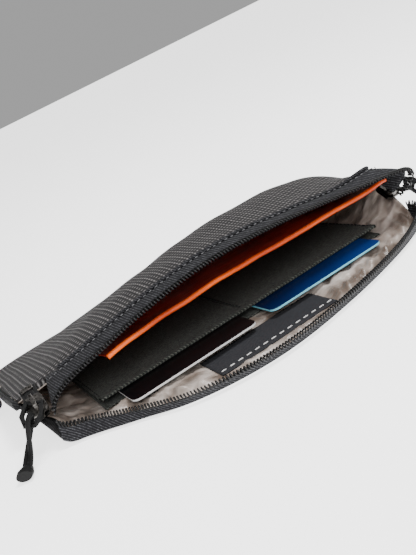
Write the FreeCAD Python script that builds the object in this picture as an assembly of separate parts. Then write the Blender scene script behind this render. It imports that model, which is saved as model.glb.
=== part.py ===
import FreeCAD, Part

import math
import os

from FreeCAD import Matrix, Placement, Vector

# Neck pouch wallet lying on its back panel with the mouth zip open, in millimetres.
# +X runs across the mouth, +Y goes from the mouth to the closed rear seam, +Z is up.
# The origin is on the underside of the back panel.

# ---------------------------------------------------------------- driving dimensions
HALF_WIDTH = 88.0  # side seam to the middle of the pouch
REAR_Y = 71.0  # rear seam
REAR_CORNER = 16.0  # plan radius of the two rear corners
CHAIN_END_Y = -16.0  # where the side seams begin, behind the two zip ends
SEAM_FRONT_Z = 14.0  # height of the side seam at the zip end
SEAM_REAR_Z = 3.0  # height of the side seam at the rear
CREST_LINE = ((-46, 32.2), (-26, 33.6), (0, 30.6), (30, 21.0), (55, 11.5), (REAR_Y, 4.8))  # (y, z) at x = 0
CORNER_LIFT_X = ((30, 0.0), (55, 3.5), (76, 12.0), (HALF_WIDTH, 9.0))  # how much the right corner lifts
CORNER_LIFT_Y = ((-44, 1.0), (-28, 0.5), (-8, 0.0))  # and how that dies away behind the mouth
RIGHT_FULLNESS = (  # (x, z): how much further the right half of the front panel bulges
    (-12.0, 0.0), (20.0, 3.6), (45.0, 7.4), (65.0, 9.0), (77.0, 7.8), (84.0, 3.4), (HALF_WIDTH, 0.0),
)
RIGHT_FULL_Y = (-31.0, 62.0)

SHELL = 1.0  # outer fabric with its backing
LINING = 0.35
LINING_INSET = 0.006  # share of the depth that each lining stops short of both its seams
PRESSED_FLAT = 0.02  # what the table flattens off the back panel's underside
PLY_GAP = 0.05  # air between two sheets that lie on each other
FOOT_CLEAR = 0.9  # from the lower tape's outer face back to the panel behind it
LOWER_TAPE_REACH = 0.98  # share of the lower chain that its tape follows
FRONT_GAP = 0.35  # air between the front panel and its lining
WELT_GAP = 0.3  # air between a tape and the corded seam over it
POCKET_GAP = 0.4  # air between the lining and the pocket sewn on it
SEAM_STACK = SHELL + PLY_GAP + LINING + 0.4  # from the back panel's underside to the top lining at the seam
FLOOR_Z = SHELL + PLY_GAP + LINING  # top of the lining inside the pouch
BINDING = (2.0, 3.4)  # width and height of the binding round the seam
BINDING_GAP = 0.1

TAPE_WIDTH = 7.0
TAPE_THICK = 0.6
TOOTH_PITCH = 1.3
TOOTH_SIZE = (0.8, 2.2, 1.4)  # along the chain, across the tape, through it
TOOTH_CLEAR = 0.6  # between a tooth and the tape's woven edge
WELT = (1.4, 1.2)  # corded seam between the fabric and the tape

CARD = (54.0, 85.6, 0.76)
CARD_CORNER = 3.18
CARD_TILT = math.radians(1.5)
CARD_INNER_END = Vector(0, 36.0, 2.85)
CARD_CENTRES = {"card_left": -29.0, "card_right": 32.5}
CARD_PULLED = {"card_left": 0.6, "card_right": 1.4}  # how far each card stands further in

POCKET_X = (-63.5, 69.0)
POCKET_Y = (-29.0, 52.0)
POCKET_SEAM_X = 1.6
HEM_DEPTH = 4.0

DIVIDER_FRONT = (Vector(-55, -38.0, 0), Vector(76, -39.0, 0))
DIVIDER_REAR = (Vector(-74, 58, 0), Vector(74, 58, 0))
DIVIDER_THICK = 0.5
HEM_ROLL = 2.0

LABEL_CORNER = (-27.5, -64.0)
LABEL_SIZE = (51.0, 20.0, 0.5)
STITCH = (2.1, 0.5, 0.3)
STITCH_PITCH = 3.5

SLIDER_PLACE = Vector(-83.6, -28.0, 15.2)  # the left slider; the right one is its mirror image
SLIDER_UP_SEAM = Vector(0.05, 0.80, 0.60)  # towards the end stop
SLIDER_FACE = Vector(-0.11, -0.60, 0.79)  # the way its face looks
SLIDER_SIZE = (8.4, 7.0, 3.8)
BRIDGE_SIZE = (5.4, 1.5, 4.0)
BRIDGE_HOLE = (3.8, 3.2)  # along and out of the slider's face
CHAIN = (3.2, 1.4)  # width and thickness of the closed teeth
CLEAR = 0.3
SLIDER_TRAVEL = 3.0
PULL_DROP = Vector(-0.58, -0.70, -0.42)  # the way the pull ring leans down to the table
CORD_END_PLACE = Vector(-97.6, -39.5, 2.2)  # where the left cord goes into its end piece
CORD_END_RUN = Vector(-0.45, -0.89, 0.0)  # the end piece lies along the table
RING_LONG = 10.5
RING_WIDE = (7.0, 8.6)  # at the slider and at the far bar
RING_WIRE = 1.4
CORD_DIAMETER = 1.8
CORD_END_LONG = 5.0
CORD_PAST_BAR = 2.5  # from the ring's far bar to the strands either side of it
CORD_LOOP = 4.2  # how far the cord's loop stands above that bar

TAB_Y = 28.0  # the strap loops' place along the side seams
TAB_SIZE = (10.0, 9.0, 6.6)
TAB_HOLE = (7.0, 4.6)  # along X and Z

ALONG = 45  # grid steps along the mouth
DEEP = 12  # grid steps from the mouth to the rear


# ---------------------------------------------------------------- curves and heights
def through(points):
    """A smooth curve through the points, as a function of its share of the length."""
    knots = [0.0]
    for before, after in zip(points, points[1:]):
        knots.append(knots[-1] + before.distanceToPoint(after))

    def slope(i):
        low, high = max(i - 1, 0), min(i + 1, len(points) - 1)
        return (points[high] - points[low]) / (knots[high] - knots[low])

    def at(share):
        distance = min(max(share, 0.0), 1.0) * knots[-1]
        i = 0
        while i < len(points) - 2 and distance > knots[i + 1]:
            i += 1
        span = knots[i + 1] - knots[i]
        t = (distance - knots[i]) / span
        rise = 3 * t**2 - 2 * t**3
        place = points[i] * (1 - rise) + points[i + 1] * rise
        place += slope(i) * (span * (t**3 - 2 * t**2 + t))
        return place + slope(i + 1) * (span * (t**3 - t**2))

    return at


def clamp(value):
    return min(max(value, 0.0), 1.0)


def value_along(stops, x):
    """A height that follows the (place, height) stops in one smooth line."""
    x = min(max(x, stops[0][0]), stops[-1][0])
    i = 0
    while i < len(stops) - 2 and x > stops[i + 1][0]:
        i += 1

    def slope(k):
        (x0, h0), (x1, h1) = stops[max(k - 1, 0)], stops[min(k + 1, len(stops) - 1)]
        return (h1 - h0) / (x1 - x0)

    (x0, h0), (x1, h1) = stops[i], stops[i + 1]
    span = x1 - x0
    t = (x - x0) / span
    rise = 3 * t**2 - 2 * t**3
    bend = slope(i) * (t**3 - 2 * t**2 + t) + slope(i + 1) * (t**3 - t**2)
    return h0 * (1 - rise) + h1 * rise + bend * span


def seam_height(y):
    share = clamp((y - CHAIN_END_Y) / (REAR_Y - CHAIN_END_Y))
    return SEAM_FRONT_Z + (SEAM_REAR_Z - SEAM_FRONT_Z) * share


def back_height(x, y):
    """Underside of the back panel: flat on the table, turned up to the seam at its edges."""
    side = clamp((abs(x) - 66.0) / (HALF_WIDTH - 66.0))
    rear = clamp((y - 54.0) / (REAR_Y - 54.0))
    return seam_height(y) * max(side, rear) ** 2


def swell(value, low, high):
    """0 outside the two limits and 1 half-way between them, in one smooth bump."""
    return math.sin(math.pi * clamp((value - low) / (high - low))) ** 2


def front_height(x, y):
    """Underside of the front panel's lining: a dome from the seam, fuller on the right."""
    base = seam_height(y) + SEAM_STACK
    crest = value_along(CREST_LINE, y)
    across = math.cos(math.pi / 2 * clamp(abs(x) / HALF_WIDTH)) ** 1.1
    corner = value_along(CORNER_LIFT_X, x) * value_along(CORNER_LIFT_Y, y)
    fullness = value_along(RIGHT_FULLNESS, x) * swell(y, *RIGHT_FULL_Y)
    return base + max(crest - base, 0) * across + corner + fullness


def outline_points():
    """The seam in plan, from the left zip end round the rear to the right zip end."""
    w, r = HALF_WIDTH, REAR_CORNER
    bend = r * (1 - math.sqrt(0.5))
    left = [(-w, CHAIN_END_Y), (-w - 1, 15), (-w, REAR_Y - r), (-w + bend, REAR_Y - bend), (-w + r, REAR_Y)]
    right = [(-x, y) for x, y in reversed(left)]
    return [Vector(x, y, 0) for x, y in left + [(-30, REAR_Y), (30, REAR_Y)] + right]


OUTLINE = through(outline_points())

UPPER_TEETH = through([Vector(*p) for p in (
    (-80.6, -36.0, 12.8), (-78.0, -35.4, 16.2), (-71.5, -34.4, 19.6), (-57.0, -38.5, 24.3),
    (-35.0, -42.3, 30.0), (-7.0, -43.8, 33.4), (22.0, -43.8, 32.2), (50.0, -43.4, 28.8),
    (72.0, -44.8, 26.2), (83.0, -45.4, 24.4), (86.2, -43.4, 21.0), (84.4, -40.6, 17.0), (80.8, -37.0, 13.4),
)])
LOWER_TEETH = through([Vector(*p) for p in (
    (-81.6, -35.6, 9.4), (-78.6, -36.0, 6.6), (-70.5, -37.6, 4.4), (-59.5, -48.6, 3.6),
    (-42.0, -65.0, 3.4), (-20.0, -73.0, 3.4), (2.0, -73.8, 3.4), (32.0, -67.2, 3.4),
    (58.0, -58.0, 3.5), (75.0, -49.5, 4.6), (82.4, -44.2, 6.6), (84.2, -40.6, 8.2), (82.0, -37.6, 9.4),
)])


def beside(curve, distance, height=None):
    """A curve moved to its own left in plan, at its own height or at a stated one."""
    def at(share):
        ahead, behind = curve(clamp(share + 0.01)), curve(clamp(share - 0.01))
        run = ahead - behind
        leftward = Vector(-run.y, run.x, 0).normalize()
        place = curve(share) + leftward * distance
        if height:
            place.z = height(place.x, place.y)
        return place

    return at


LOWER_FOOT_PLAN = through([Vector(x, y, 0) for x, y in (
    (-82.2, -36.8), (-79.4, -38.2), (-73.6, -41.4), (-62.0, -50.0), (-42.4, -64.0), (-20.0, -71.4),
    (1.8, -72.2),
    (31.4, -65.8), (57.2, -56.6), (74.0, -48.2), (80.8, -43.2), (82.4, -40.2), (80.8, -37.0),
)])


def tape_foot(share):
    """Foot of the lower zip tape: under the teeth, standing on the back panel's edge."""
    place = LOWER_FOOT_PLAN(share)
    place.z = max(LOWER_TEETH(share).z - TAPE_WIDTH + 0.6, 0.45)
    return place


UPPER_SEAM_PLAN = through([Vector(x, y, 0) for x, y in (
    (-75.4, -21.5), (-72.6, -25.0), (-67.0, -27.8), (-54.5, -31.4), (-34.0, -35.0), (-7.0, -36.5),
    (22.0, -36.5), (50.0, -36.0), (66.0, -37.0), (73.4, -36.6), (76.4, -33.4), (76.8, -28.0), (75.4, -21.5),
)])


def upper_seam(share, forward=0.0):
    """Where the upper zip tape is sewn to the front panel; forward moves it towards the teeth."""
    plan = UPPER_SEAM_PLAN(share)
    teeth = UPPER_TEETH(share)
    place = plan + Vector(teeth.x - plan.x, teeth.y - plan.y, 0) * (forward / TAPE_WIDTH)
    place.z = front_height(place.x, place.y) + LINING + PLY_GAP
    return place


def tape_edge(teeth, foot):
    """The tape's free edge, which the teeth are fixed to."""
    def at(share):
        place = teeth(share)
        return place + (foot(share) - place).normalize() * (TOOTH_SIZE[1] / 2 + TOOTH_CLEAR)

    return at


# ---------------------------------------------------------------- thin curved sheets
def skin(rows):
    surface = Part.BSplineSurface()
    surface.interpolate(rows)
    return surface


def sheet(rows, low, high):
    """One sheet of a stack on a grid, from low to high straight above it."""
    solid = skin(rows).toShape().extrude(Vector(0, 0, high - low))
    solid.translate(Vector(0, 0, low))
    return solid


def closed_sheet(bottom_rows, top_rows):
    """A solid between two grids of points that have the same rows and columns."""
    bottom, top = skin(bottom_rows), skin(top_rows)
    faces = [bottom.toShape(), top.toShape()]
    for low, high in zip(border(bottom), border(top)):
        faces.append(Part.makeRuledSurface(low.toShape(), high.toShape()))
    shell = Part.makeShell(faces)
    shell.sewShape()
    solid = Part.makeSolid(Part.Shell(shell.Faces))
    if solid.Volume < 0:
        solid.reverse()
    return solid


def border(surface):
    u0, u1, v0, v1 = surface.bounds()
    return surface.uIso(u0), surface.uIso(u1), surface.vIso(v0), surface.vIso(v1)


def normals(rows):
    """The upward unit normal at every point of a grid."""
    found = []
    for i, row in enumerate(rows):
        line = []
        for j in range(len(row)):
            along = rows[min(i + 1, len(rows) - 1)][j] - rows[max(i - 1, 0)][j]
            deep = row[min(j + 1, len(row) - 1)] - row[max(j - 1, 0)]
            line.append(along.cross(deep).normalize())
        found.append(line)
    return found


def layer(rows, low, high):
    """One layer of a stack, from low to high above the grid along its normals."""
    facing = normals(rows)

    def moved(by):
        return [[p + n * by for p, n in zip(row, line)] for row, line in zip(rows, facing)]

    return closed_sheet(moved(low), moved(high))


def panel_rows(front, height, inset=0.0):
    """A grid from the mouth to the seam, or a share of the way in from both of them."""
    rows = []
    for i in range(ALONG):
        share = i / (ALONG - 1)
        a, b = front(share), OUTLINE(share)
        lift = a.z - height(a.x, a.y)
        row = []
        for j in range(DEEP):
            t = inset + (1 - 2 * inset) * j / (DEEP - 1)
            x, y = a.x + (b.x - a.x) * t, a.y + (b.y - a.y) * t
            row.append(Vector(x, y, height(x, y) + lift * (1 - t) ** 3))
        rows.append(row)
    return rows


def strip_rows(first, second, steps=60):
    """A grid of four columns between two curves."""
    shares = [i / (steps - 1) for i in range(steps)]
    return [[first(s) * (1 - t) + second(s) * t for t in (0, 1 / 3, 2 / 3, 1)] for s in shares]


# ---------------------------------------------------------------- fabric parts
def back_front_edge(share):
    """Front edge of the back panel, under the foot of the zip tape."""
    place = beside(tape_foot, FOOT_CLEAR)(share)
    place.z = max(LOWER_TEETH(share).z - TAPE_WIDTH + 0.6, 0.0)
    return place


def back_parts():
    rows = panel_rows(back_front_edge, back_height)
    inner_rows = panel_rows(back_front_edge, back_height, LINING_INSET)
    below_table = Part.makeBox(400, 400, 1, Vector(-200, -200, -1))
    return {
        "back_panel": sheet(rows, -PRESSED_FLAT, SHELL).cut(below_table),
        "back_lining": sheet(inner_rows, SHELL + PLY_GAP, FLOOR_Z),
    }


def front_parts():
    def edge(share):
        return upper_seam(share, -1.0) - Vector(0, 0, LINING + PLY_GAP)

    rows = panel_rows(edge, front_height)
    inner_rows = panel_rows(edge, front_height, LINING_INSET)
    return {
        "front_lining": sheet(inner_rows, 0.0, LINING),
        "front_panel": sheet(rows, LINING + FRONT_GAP, LINING + FRONT_GAP + SHELL),
    }


def inner_share(share):
    """A share of the mouth curve that stops short of its two turned ends."""
    return 0.05 + 0.88 * share


def behind_lower_tape(share, distance):
    """A place on the lining behind the lower tape, further in where the tape leans inwards."""
    foot = tape_foot(share)
    inward = beside(tape_foot, 1.0)(share) - foot
    lean = max((LOWER_TEETH(share) - foot).dot(inward), 0.0)
    return foot + inward * (FOOT_CLEAR + 0.85 * lean + distance)


def tape_parts():
    upper = strip_rows(tape_edge(UPPER_TEETH, upper_seam), upper_seam)
    lower_edge = tape_edge(LOWER_TEETH, tape_foot)
    lower = strip_rows(lambda share: tape_foot(LOWER_TAPE_REACH * share),
                       lambda share: lower_edge(LOWER_TAPE_REACH * share))
    fold = strip_rows(lambda share: upper_seam(inner_share(share), WELT[0]),
                      lambda share: upper_seam(inner_share(share)))
    low_fold = strip_rows(lambda share: behind_lower_tape(inner_share(share), 0.0),
                          lambda share: behind_lower_tape(inner_share(share), WELT[0]))
    return {
        "upper_tape": layer(upper, 0.0, TAPE_THICK),
        "lower_tape": layer(lower, 0.0, TAPE_THICK),
        "upper_welt": layer(fold, TAPE_THICK + WELT_GAP, TAPE_THICK + WELT[1]),
        "lower_welt": sheet(low_fold, FLOOR_Z + PLY_GAP, FLOOR_Z + WELT[1]),
    }


def tooth_row(curve, foot):
    """The teeth along one edge of the mouth, as separate solids standing across the tape."""
    length = sum(curve(i / 200).distanceToPoint(curve((i + 1) / 200)) for i in range(200))
    count = int(length / TOOTH_PITCH)
    teeth = []
    for i in range(count):
        share = (i + 0.5) / count
        along = (curve(clamp(share + 0.004)) - curve(clamp(share - 0.004))).normalize()
        across = (curve(share) - foot(share)).normalize()
        out = along.cross(across).normalize()
        teeth.append(placed_box(TOOTH_SIZE, curve(share), along, out.cross(along)))
    return Part.Compound(teeth)


def placed_box(size, centre, x_axis, y_axis):
    box = Part.makeBox(*size, Vector(*(-s / 2 for s in size)))
    box.Placement = frame_at(centre, x_axis, y_axis)
    return box


def frame_at(centre, x_axis, y_axis):
    """A placement whose local x and y point along the two given directions."""
    x = Vector(x_axis).normalize()
    z = x.cross(y_axis).normalize()
    y = z.cross(x)
    return Placement(Matrix(
        x.x, y.x, z.x, centre.x,
        x.y, y.y, z.y, centre.y,
        x.z, y.z, z.z, centre.z,
        0, 0, 0, 1,
    ))


def seam_binding():
    """The tape bound round the side and rear edges of both panels."""
    width, height = BINDING
    inner = beside(OUTLINE, BINDING_GAP, lambda x, y: seam_height(y))
    outer = beside(OUTLINE, BINDING_GAP + width, lambda x, y: seam_height(y))
    return sheet(strip_rows(outer, inner), 0.0, height)


# ---------------------------------------------------------------- inside the pouch
def divider_height(x, y):
    """The divider hangs between the two panels, close under the front one at the mouth."""
    low = back_height(x, y) + FLOOR_Z
    high = front_height(x, y)
    share = 0.70 + 0.12 * clamp(abs(x) / 55.0) ** 2
    return low + (high - low) * share


def divider_rows(first_y_shift, last_y_shift, steps):
    """A grid over part of the divider's depth; the shifts move its first and last rows in Y."""
    rows = []
    for i in range(21):
        share = i / 20
        a = DIVIDER_FRONT[0] * (1 - share) + DIVIDER_FRONT[1] * share
        b = DIVIDER_REAR[0] * (1 - share) + DIVIDER_REAR[1] * share
        y0 = a.y + first_y_shift
        y1 = b.y if last_y_shift is None else a.y + last_y_shift
        row = []
        for j in range(steps):
            y = y0 + (y1 - y0) * j / (steps - 1)
            x = a.x + (b.x - a.x) * (y - a.y) / (b.y - a.y)
            row.append(Vector(x, y, divider_height(x, y)))
        rows.append(row)
    return rows


def divider_parts():
    return {
        "divider": sheet(divider_rows(0.0, None, DEEP), 0.0, DIVIDER_THICK),
        "divider_hem": sheet(divider_rows(-HEM_ROLL - 0.1, -0.1, 4), -0.5, 1.0),
    }


def card_height(y):
    """Middle plane of the cards, which lean up a little towards the mouth."""
    return CARD_INNER_END.z + (CARD_INNER_END.y - y) * math.tan(CARD_TILT)


def slab(x_range, y_range, z_front, z_rear, thick):
    """A flat sheet whose underside runs from z_front at its front to z_rear at its rear."""
    (x0, x1), (y0, y1) = x_range, y_range
    side = Part.makePolygon([
        Vector(x0, y0, z_front), Vector(x0, y1, z_rear), Vector(x0, y1, z_rear + thick),
        Vector(x0, y0, z_front + thick), Vector(x0, y0, z_front),
    ])
    return Part.Face(side).extrude(Vector(x1 - x0, 0, 0))


def pocket_parts():
    """Two card pockets side by side: a backing, one front sheet each, and a bound hem."""
    base = FLOOR_Z + POCKET_GAP
    x0, x1 = POCKET_X
    y0, y1 = POCKET_Y
    gap = CARD[2] / 2 + 0.3
    front_z, rear_z = card_height(y0) + gap, card_height(y1) + gap
    sheet = 0.5
    hem_z = card_height(y0 - HEM_DEPTH) + gap
    half = POCKET_SEAM_X / 2
    seam_x = (POCKET_X[0] + POCKET_X[1]) / 2 - 1.0
    parts = {
        "pocket_backing": slab(POCKET_X, (y0 - HEM_DEPTH, y1), base, base, sheet),
        "pocket_left": slab((x0, seam_x - 0.1), (y0, y1), front_z, rear_z, sheet),
        "pocket_right": slab((seam_x + 0.1, x1), (y0, y1), front_z, rear_z, sheet),
        "pocket_hem": slab(POCKET_X, (y0 - HEM_DEPTH, y0), hem_z, front_z, sheet + 0.5),
    }
    walls = []
    for x in (x0 + half, seam_x, x1 - half):
        walls.append(Part.Face(Part.makePolygon([
            Vector(x - half, y0, base + sheet), Vector(x - half, y1, base + sheet),
            Vector(x - half, y1, rear_z), Vector(x - half, y0, front_z),
            Vector(x - half, y0, base + sheet),
        ])).extrude(Vector(POCKET_SEAM_X, 0, 0)))
    parts["pocket_seams"] = Part.Compound(walls)
    return parts


def card(name):
    """A blank card with rounded corners, part way into its pocket."""
    width, length, thick = CARD
    plate = Part.makeBox(width, length, thick, Vector(-width / 2, -length, -thick / 2))
    upright = [e for e in plate.Edges if abs(e.tangentAt(e.FirstParameter).z) > 0.9]
    plate = plate.makeFillet(CARD_CORNER, upright)
    plate.rotate(Vector(0, 0, 0), Vector(1, 0, 0), -math.degrees(CARD_TILT))
    plate.translate(CARD_INNER_END + Vector(CARD_CENTRES[name], CARD_PULLED[name], 0))
    return plate


def label_parts():
    (x0, y0), (width, deep, thick) = LABEL_CORNER, LABEL_SIZE
    z = FLOOR_Z + PLY_GAP
    label = Part.makeBox(width, deep, thick, Vector(x0, y0, z))
    count = int(width / STITCH_PITCH)
    stitches = []
    for i in range(count):
        x = x0 + (i + 0.5) * width / count - STITCH[0] / 2
        stitches.append(Part.makeBox(*STITCH, Vector(x, y0 + 2.0, z + thick)))
    return {"label": label, "label_stitches": Part.Compound(stitches)}


# ---------------------------------------------------------------- sliders and pulls
def local_slider():
    """Body of the slider: x towards the end stop, y across the tapes, z out of the face."""
    length, width, height = SLIDER_SIZE
    body = Part.makeBox(length, width, height, Vector(-length / 2, -width / 2, -height / 2))
    upright = [e for e in body.Edges if abs(e.tangentAt(e.FirstParameter).z) > 0.9]
    body = body.makeFillet(1.6, upright)
    chain_w, chain_t = CHAIN[0] + 2 * CLEAR, CHAIN[1] + 2 * CLEAR
    wedge_x = -length / 2 + 3.0
    channel = Part.makeBox(length, chain_w, chain_t, Vector(wedge_x, -chain_w / 2, -chain_t / 2))
    mouth = Part.makeBox(3.5, width - 1.6, chain_t, Vector(-length / 2 - 0.5, -width / 2 + 0.8, -chain_t / 2))
    slot_t = TAPE_THICK + 2 * CLEAR
    slot = Part.makeBox(length + 2, width + 2, slot_t, Vector(-length / 2 - 1, -width / 2 - 1, -slot_t / 2))
    wedge = Part.makeBox(3.0, 1.8, chain_t, Vector(-length / 2 + 0.3, -0.9, -chain_t / 2))
    return body.cut(channel).cut(mouth).cut(slot).fuse(wedge).removeSplitter()


def local_bridge():
    """The arch on the slider's face that holds the pull ring."""
    top = SLIDER_SIZE[2] / 2
    long, width, high = BRIDGE_SIZE
    hole_long, hole_high = BRIDGE_HOLE
    arch = Part.makeBox(long, width, high, Vector(-long / 2, -width / 2, top))
    return arch.cut(Part.makeBox(hole_long, width + 2, hole_high, Vector(-hole_long / 2, -width / 2 - 1, top)))


def local_chain_end():
    """The last closed teeth with the tapes either side of them, behind the slider."""
    start = -SLIDER_SIZE[0] / 2 + 3.0 + SLIDER_TRAVEL + CLEAR
    stop = SLIDER_SIZE[0] / 2 + SLIDER_TRAVEL + CLEAR
    width, thick = CHAIN
    bar = Part.makeBox(stop - start + 2.0, width, thick, Vector(start, -width / 2, -thick / 2))
    wing = Part.makeBox(stop - start + 2.0, width + 3.0, TAPE_THICK,
                        Vector(start, -width / 2 - 1.5, -TAPE_THICK / 2))
    return bar.fuse(wing).removeSplitter()


def local_end_stop():
    """The metal clamp round the closed teeth that stops the slider."""
    width, thick = CHAIN
    start = SLIDER_SIZE[0] / 2 + SLIDER_TRAVEL + CLEAR
    outer = Part.makeBox(1.8, width + 1.4, thick + 1.4, Vector(start, -width / 2 - 0.7, -thick / 2 - 0.7))
    inner = local_chain_end()
    return outer.cut(inner)


def ring_plate():
    """The pull ring: a rounded trapezoid of wire, hinge bar on the origin, leaning along -y."""
    def outline(grow):
        top, low = RING_WIDE[0] / 2 + grow, RING_WIDE[1] / 2 + grow
        up, down = RING_WIRE / 2 + grow, RING_LONG - RING_WIRE / 2 + grow
        points = [Vector(-top, up, 0), Vector(top, up, 0), Vector(low, -down * 0.62, 0),
                  Vector(low * 0.55, -down, 0), Vector(-low * 0.55, -down, 0),
                  Vector(-low, -down * 0.62, 0)]
        return Part.Face(Part.makePolygon(points + points[:1]))

    plate = outline(0).cut(outline(-RING_WIRE)).extrude(Vector(0, 0, RING_WIRE))
    plate.translate(Vector(0, 0, -RING_WIRE / 2))
    far = -RING_LONG + RING_WIRE / 2
    for y, half in ((0.0, RING_WIDE[0] / 2 - RING_WIRE / 2), (far, RING_WIDE[1] * 0.25)):
        pin = Part.makeCylinder(RING_WIRE / 2, 2 * half, Vector(-half, y, 0), Vector(1, 0, 0))
        gap = Part.makeBox(2 * half, RING_WIRE + 0.2, RING_WIRE + 0.2,
                           Vector(-half, y - RING_WIRE / 2 - 0.1, -RING_WIRE / 2 - 0.1))
        plate = plate.cut(gap).fuse(pin)
    return plate


def mirrored(shape, side):
    """The shape for the left side as it is, or its mirror image for the right one."""
    return shape if side == "left" else shape.mirror(Vector(0, 0, 0), Vector(1, 0, 0))


def pull_frame():
    """Placement of the left pull ring: its bar lies in the bridge, its plane faces the mouth."""
    slider = slider_frame()
    bar = slider.multVec(Vector(0, 0, (SLIDER_SIZE[2] + BRIDGE_HOLE[1]) / 2))
    drop = Vector(PULL_DROP).normalize()
    across = drop.cross(slider.Rotation.multVec(Vector(0, 0, 1))).normalize()
    return frame_at(bar, across, drop * -1)


def slider_frame():
    """Placement of the left slider: its face looks towards the mouth and up."""
    run = Vector(SLIDER_UP_SEAM).normalize()
    return frame_at(SLIDER_PLACE, run, run.cross(SLIDER_FACE) * -1)


def cord_route():
    """Route of the left pull cord: out of its end piece, up round the ring's far bar and back."""
    ring = pull_frame()
    end = cord_end_frame()
    bar = ring.multVec(Vector(0, -RING_LONG + RING_WIRE / 2, 0))
    half = CORD_DIAMETER / 2 + 0.15
    into_end = [end.multVec(Vector(side * half, 0.25, 0.0)) for side in (-1, 1)]
    past_end = [end.multVec(Vector(side * (half + 0.2), 4.6, 0.9)) for side in (-1, 1)]
    up = (bar - (past_end[0] + past_end[1]) / 2).normalize()
    front = up.cross(ring.Rotation.multVec(Vector(1, 0, 0))).normalize() * CORD_PAST_BAR
    beside_bar = [bar + front * side for side in (-1, 1)]
    top = [bar + up * CORD_LOOP + front * (0.75 * side) for side in (-1, 1)]
    return [into_end[0], past_end[0], beside_bar[0], top[0], top[1], beside_bar[1], past_end[1], into_end[1]]


def cord_end_frame():
    """Placement of the left cord's end piece: local y runs from its tip to the cord."""
    run = Vector(CORD_END_RUN).normalize()
    return frame_at(CORD_END_PLACE, run.cross(Vector(0, 0, 1)) * -1, run * -1)


def tube(route, diameter):
    """A round tube along straight runs joined by tangent arcs; it prints the arcs' radii."""
    edges, radii = [], []
    start = route[0]
    for before, corner, after in zip(route, route[1:], route[2:]):
        into, out = (corner - before).normalize(), (after - corner).normalize()
        turn = into.getAngle(out)
        shorter = min(before.distanceToPoint(corner), corner.distanceToPoint(after))
        reach = 0.45 * shorter
        radius = reach / math.tan(turn / 2)
        radii.append(round(radius, 1))
        first, last = corner - into * reach, corner + out * reach
        inside = (out - into).normalize()
        middle = corner + inside * (radius / math.cos(turn / 2) - radius)
        edges += [Part.LineSegment(start, first).toShape(), Part.Arc(first, middle, last).toShape()]
        start = last
    edges.append(Part.LineSegment(start, route[-1]).toShape())
    path = Part.Wire(edges)
    ring = Part.Wire(Part.makeCircle(diameter / 2, route[0], route[1] - route[0]))
    solid = path.makePipeShell([ring], True, False)
    wanted = math.pi * diameter**2 / 4 * path.Length
    print("cord radii", radii, "length", round(path.Length, 1), "volume ratio", round(solid.Volume / wanted, 3))
    return solid


def cord_end():
    """The moulded grip that both ends of the pull cord go into."""
    long = CORD_END_LONG
    profile = [(0, -0.02), (2.4, -0.02), (3.2, -long * 0.55), (3.0, -long), (0, -long)]
    points = [Vector(x, y, 0) for x, y in profile]
    grip = Part.Face(Part.makePolygon(points + points[:1])).revolve(Vector(0, 0, 0), Vector(0, 1, 0), 360)
    flat = Matrix()
    flat.scale(1.0, 1.0, 0.65)
    grip = grip.transformGeometry(flat)
    grip.Placement = cord_end_frame()
    return grip


def slider_parts(side):
    place = slider_frame()
    local = {
        "slider": local_slider(), "bridge": local_bridge(),
        "chain_end": local_chain_end(), "end_stop": local_end_stop(),
    }
    parts = {}
    for name, shape in local.items():
        shape.Placement = place
        parts[f"{side}_{name}"] = mirrored(shape, side)
    ring = ring_plate()
    ring.Placement = pull_frame()
    parts[f"{side}_pull_ring"] = mirrored(ring, side)
    parts[f"{side}_pull_cord"] = mirrored(tube(cord_route(), CORD_DIAMETER), side)
    parts[f"{side}_cord_end"] = mirrored(cord_end(), side)
    return parts


def strap_tab(side):
    """The folded webbing loop in a side seam, where a neck strap is tied."""
    long, width, high = TAB_SIZE
    hole_long, hole_high = TAB_HOLE
    x = -(HALF_WIDTH + 1.0 + BINDING[0] + BINDING_GAP + 0.05)
    z = seam_height(TAB_Y) - 3.6
    outer = Part.makeBox(long, width, high, Vector(x - long, TAB_Y - width / 2, z))
    wall = (high - hole_high) / 2
    hole = Part.makeBox(hole_long, width + 2, hole_high, Vector(x - long + wall, TAB_Y - width / 2 - 1, z + wall))
    return mirrored(outer.cut(hole), side)


# ---------------------------------------------------------------- build
def build():
    parts = {}
    parts.update(back_parts())
    parts.update(front_parts())
    parts.update(tape_parts())
    parts["upper_teeth"] = tooth_row(UPPER_TEETH, upper_seam)
    parts["lower_teeth"] = tooth_row(LOWER_TEETH, tape_foot)
    parts["seam_binding"] = seam_binding()
    parts.update(divider_parts())
    parts.update(pocket_parts())
    parts.update(label_parts())
    for name in CARD_CENTRES:
        parts[name] = card(name)
    for side in ("left", "right"):
        parts.update(slider_parts(side))
        parts[f"{side}_strap_tab"] = strap_tab(side)
    return parts


os.makedirs("parts", exist_ok=True)
for node, shape in build().items():
    print(node, len(shape.Solids), round(shape.Volume, 1), shape.isValid())
    shape.exportStep(f"parts/{node}.step")
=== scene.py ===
"""Looks of a soft zipped neck pouch that lies open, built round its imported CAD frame."""

import math

import bmesh
import bpy
from mathutils import Matrix, Vector, noise
from mathutils.bvhtree import BVHTree


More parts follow.
